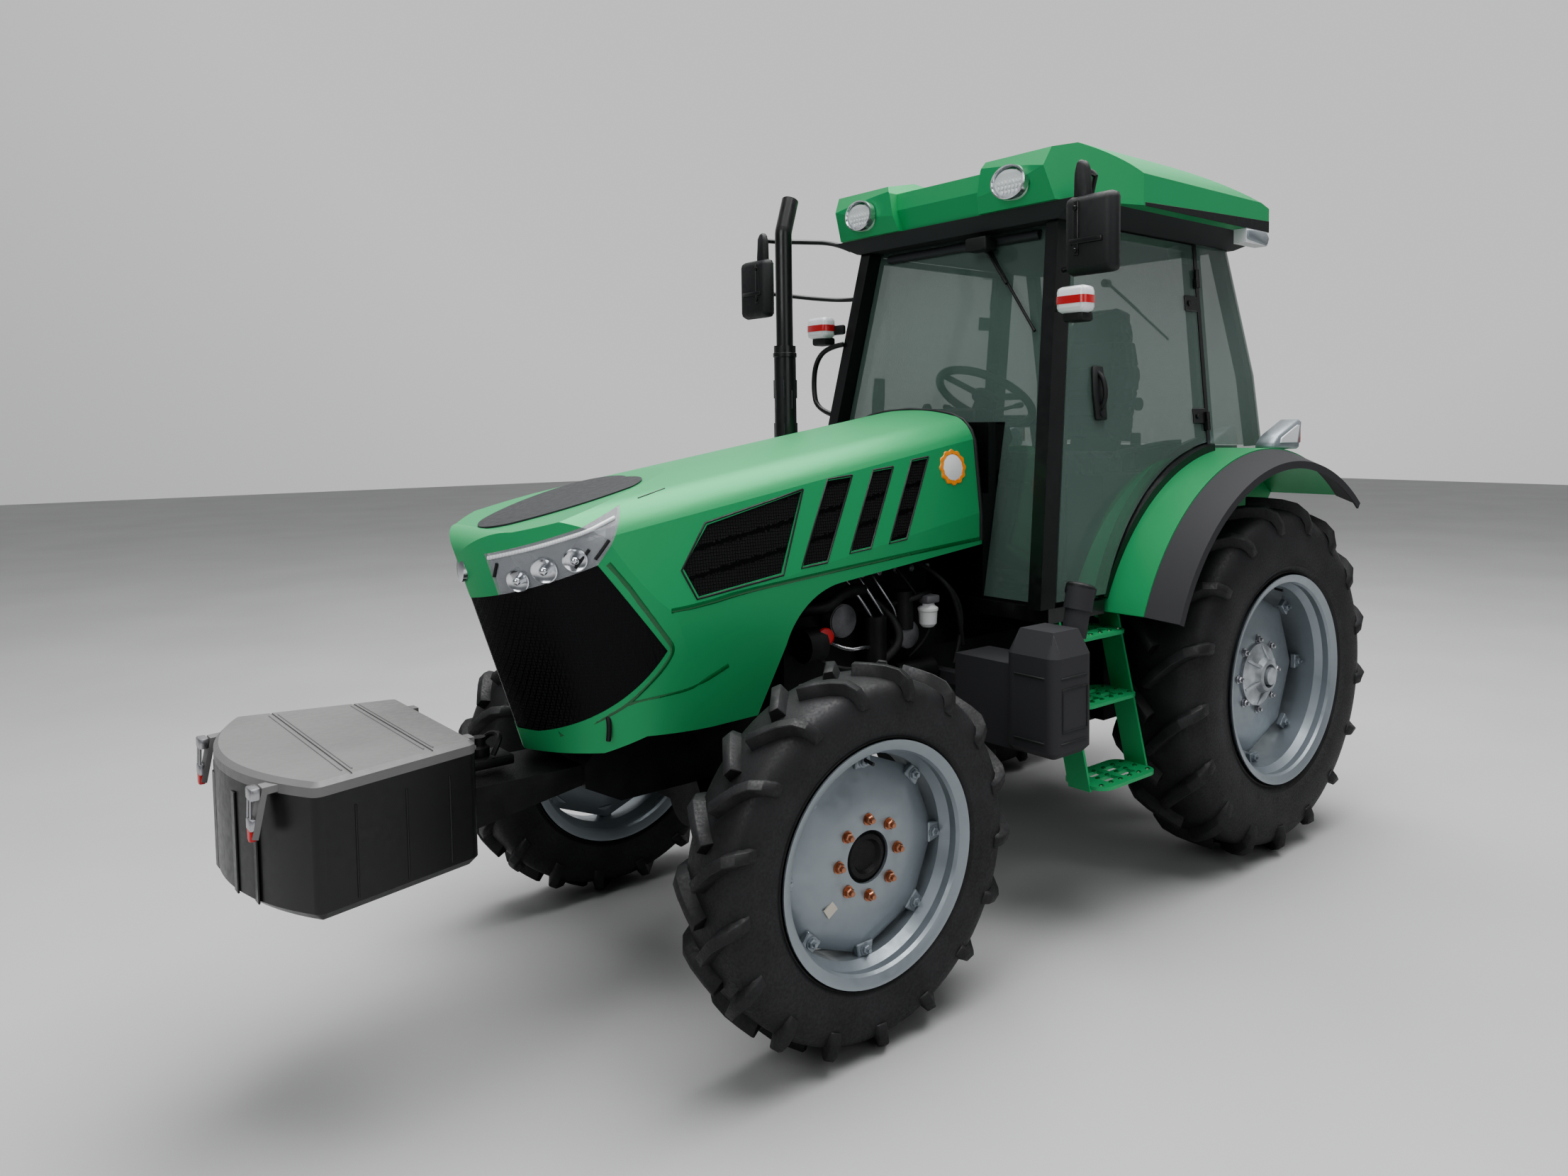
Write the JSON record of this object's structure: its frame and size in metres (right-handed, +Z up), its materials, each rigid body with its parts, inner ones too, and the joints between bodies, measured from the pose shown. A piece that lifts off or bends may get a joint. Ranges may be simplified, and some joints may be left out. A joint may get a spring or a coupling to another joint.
{
  "type": "farm tractor",
  "caption": "Four-wheel-drive farm tractor with a glazed cab, sloping hood, lugged tyres, front toolbox and rear three-point hitch.",
  "frame": {"origin": "on the ground at the middle of the whole machine's footprint", "axes": "+X forward, +Y to the tractor's left, +Z up"},
  "size_m": [4.4508, 1.95, 2.6594],
  "materials": {
    "green_paint": "gloss enamel",
    "black_paint": "satin enamel",
    "silver_paint": "satin enamel",
    "cast_metal": "painted casting",
    "steel": "satin",
    "black_plastic": "moulded",
    "glass": "tinted",
    "lamp_clear": "clear lens",
    "tyre": "rubber",
    "fabric": "woven"
  },
  "bodies": {
    "chassis": {"battery_box": "black_plastic", "cab_floor": "black_paint", "cab_panels": "black_paint", "cab_posts": "black_paint", "cab_windows": "glass", "dash_console": "black_plastic", "drawbar": "cast_metal", "engine_block": "cast_metal", "engine_fittings": "black_paint", "exhaust_stack": "black_paint", "fender_flares": "black_plastic", "fender_left": "green_paint", "fender_right": "green_paint", "front_axle_beam": "cast_metal", "front_bolster": "cast_metal", "fuel_tank": "black_plastic", "gearbox_housing": "cast_metal", "mirror_left": "black_plastic", "mirror_right": "black_plastic", "radiator": "black_paint", "rear_axle_housing": "cast_metal", "roof_lining": "black_plastic", "roof_shell": "green_paint", "seat_back": "fabric", "seat_base": "black_paint", "seat_cushion": "fabric", "side_consoles": "black_plastic", "side_lamps": "lamp_clear", "steering_wheel": "black_plastic", "steps_left": "green_paint", "steps_right": "green_paint", "toolbox": "black_plastic", "toolbox_bracket": "cast_metal", "top_link": "cast_metal", "work_lamps": "lamp_clear"},
    "hood": {"hood_shell": "green_paint", "hood_grilles": "black_plastic", "headlamps": "lamp_clear", "nose_pad": "black_plastic"},
    "door_left": {"door_frame_left": "black_paint", "door_glass_left": "glass"},
    "door_right": {"door_frame_right": "black_paint", "door_glass_right": "glass"},
    "toolbox_lid": {"toolbox_lid": "black_plastic"},
    "knuckle_left": {"knuckle_left": "cast_metal"},
    "knuckle_right": {"knuckle_right": "cast_metal"},
    "tie_rod": {"tie_rod": "steel"},
    "wheel_front_left": {"tyre_front_left": "tyre", "wheel_front_left": "silver_paint"},
    "wheel_front_right": {"tyre_front_right": "tyre", "wheel_front_right": "silver_paint"},
    "wheel_rear_left": {"tyre_rear_left": "tyre", "wheel_rear_left": "silver_paint"},
    "wheel_rear_right": {"tyre_rear_right": "tyre", "wheel_rear_right": "silver_paint"},
    "lower_links": {"lower_links": "cast_metal"},
    "lift_arms": {"lift_arms": "cast_metal"},
    "lift_rods": {"lift_rods": "steel"}
  },
  "joints": [
    {"name": "hood_hinge", "type": "hinge", "parent": "chassis", "child": "hood", "pos_m": [-0.01557, 0, 1.7], "axis": [0, -1, 0], "range_deg": [0, 45]},
    {"name": "door_left_hinge", "type": "hinge", "parent": "chassis", "child": "door_left", "pos_m": [-1.06857, 0.60249, 1.70116], "axis": [0, -0.097, 0.9953], "range_deg": [0, 70]},
    {"name": "door_right_hinge", "type": "hinge", "parent": "chassis", "child": "door_right", "pos_m": [-1.06857, -0.60249, 1.70116], "axis": [0, -0.097, -0.9953], "range_deg": [0, 70]},
    {"name": "toolbox_lid_hinge", "type": "hinge", "parent": "chassis", "child": "toolbox_lid", "pos_m": [1.71543, 0, 0.888], "axis": [0, -1, 0], "range_deg": [0, 85]},
    {"name": "steer_left", "type": "hinge", "parent": "chassis", "child": "knuckle_left", "pos_m": [0.86043, 0.64, 0.525], "axis": [0, 0, 1], "range_deg": [-35, 35]},
    {"name": "steer_right", "type": "hinge", "parent": "chassis", "child": "knuckle_right", "pos_m": [0.86043, -0.64, 0.525], "axis": [0, 0, 1], "range_deg": [-35, 35]},
    {"name": "tie_rod_swing", "type": "hinge", "parent": "knuckle_left", "child": "tie_rod", "pos_m": [0.67043, 0.64, 0.525], "axis": [0, 0, 1], "range_deg": [-35, 35]},
    {"name": "wheel_front_left_spin", "type": "hinge", "parent": "knuckle_left", "child": "wheel_front_left", "pos_m": [0.86043, 0.72, 0.525], "axis": [0, 1, 0], "continuous": true},
    {"name": "wheel_front_right_spin", "type": "hinge", "parent": "knuckle_right", "child": "wheel_front_right", "pos_m": [0.86043, -0.72, 0.525], "axis": [0, 1, 0], "continuous": true},
    {"name": "wheel_rear_left_spin", "type": "hinge", "parent": "chassis", "child": "wheel_rear_left", "pos_m": [-1.18957, 0.71, 0.7], "axis": [0, 1, 0], "continuous": true},
    {"name": "wheel_rear_right_spin", "type": "hinge", "parent": "chassis", "child": "wheel_rear_right", "pos_m": [-1.18957, -0.71, 0.7], "axis": [0, 1, 0], "continuous": true},
    {"name": "lower_links_lift", "type": "hinge", "parent": "chassis", "child": "lower_links", "pos_m": [-1.30957, 0, 0.4], "axis": [0, 1, 0], "range_deg": [-10, 30]},
    {"name": "lift_arms_turn", "type": "hinge", "parent": "chassis", "child": "lift_arms", "pos_m": [-1.42457, 0, 0.89], "axis": [0, 1, 0], "range_deg": [-16, 45]},
    {"name": "lift_rods_swing", "type": "hinge", "parent": "lift_arms", "child": "lift_rods", "pos_m": [-1.73339, 0, 0.86298], "axis": [0, 1, 0], "range_deg": [-43, 15]}
  ],
  "couplings": [
    {"joint": "steer_right", "follows": "steer_left", "ratio": 1},
    {"joint": "tie_rod_swing", "follows": "steer_left", "ratio": -1},
    {"joint": "lift_arms_turn", "follows": "lower_links_lift", "ratio": 1.444},
    {"joint": "lift_rods_swing", "follows": "lower_links_lift", "ratio": -1.3844}
  ]
}
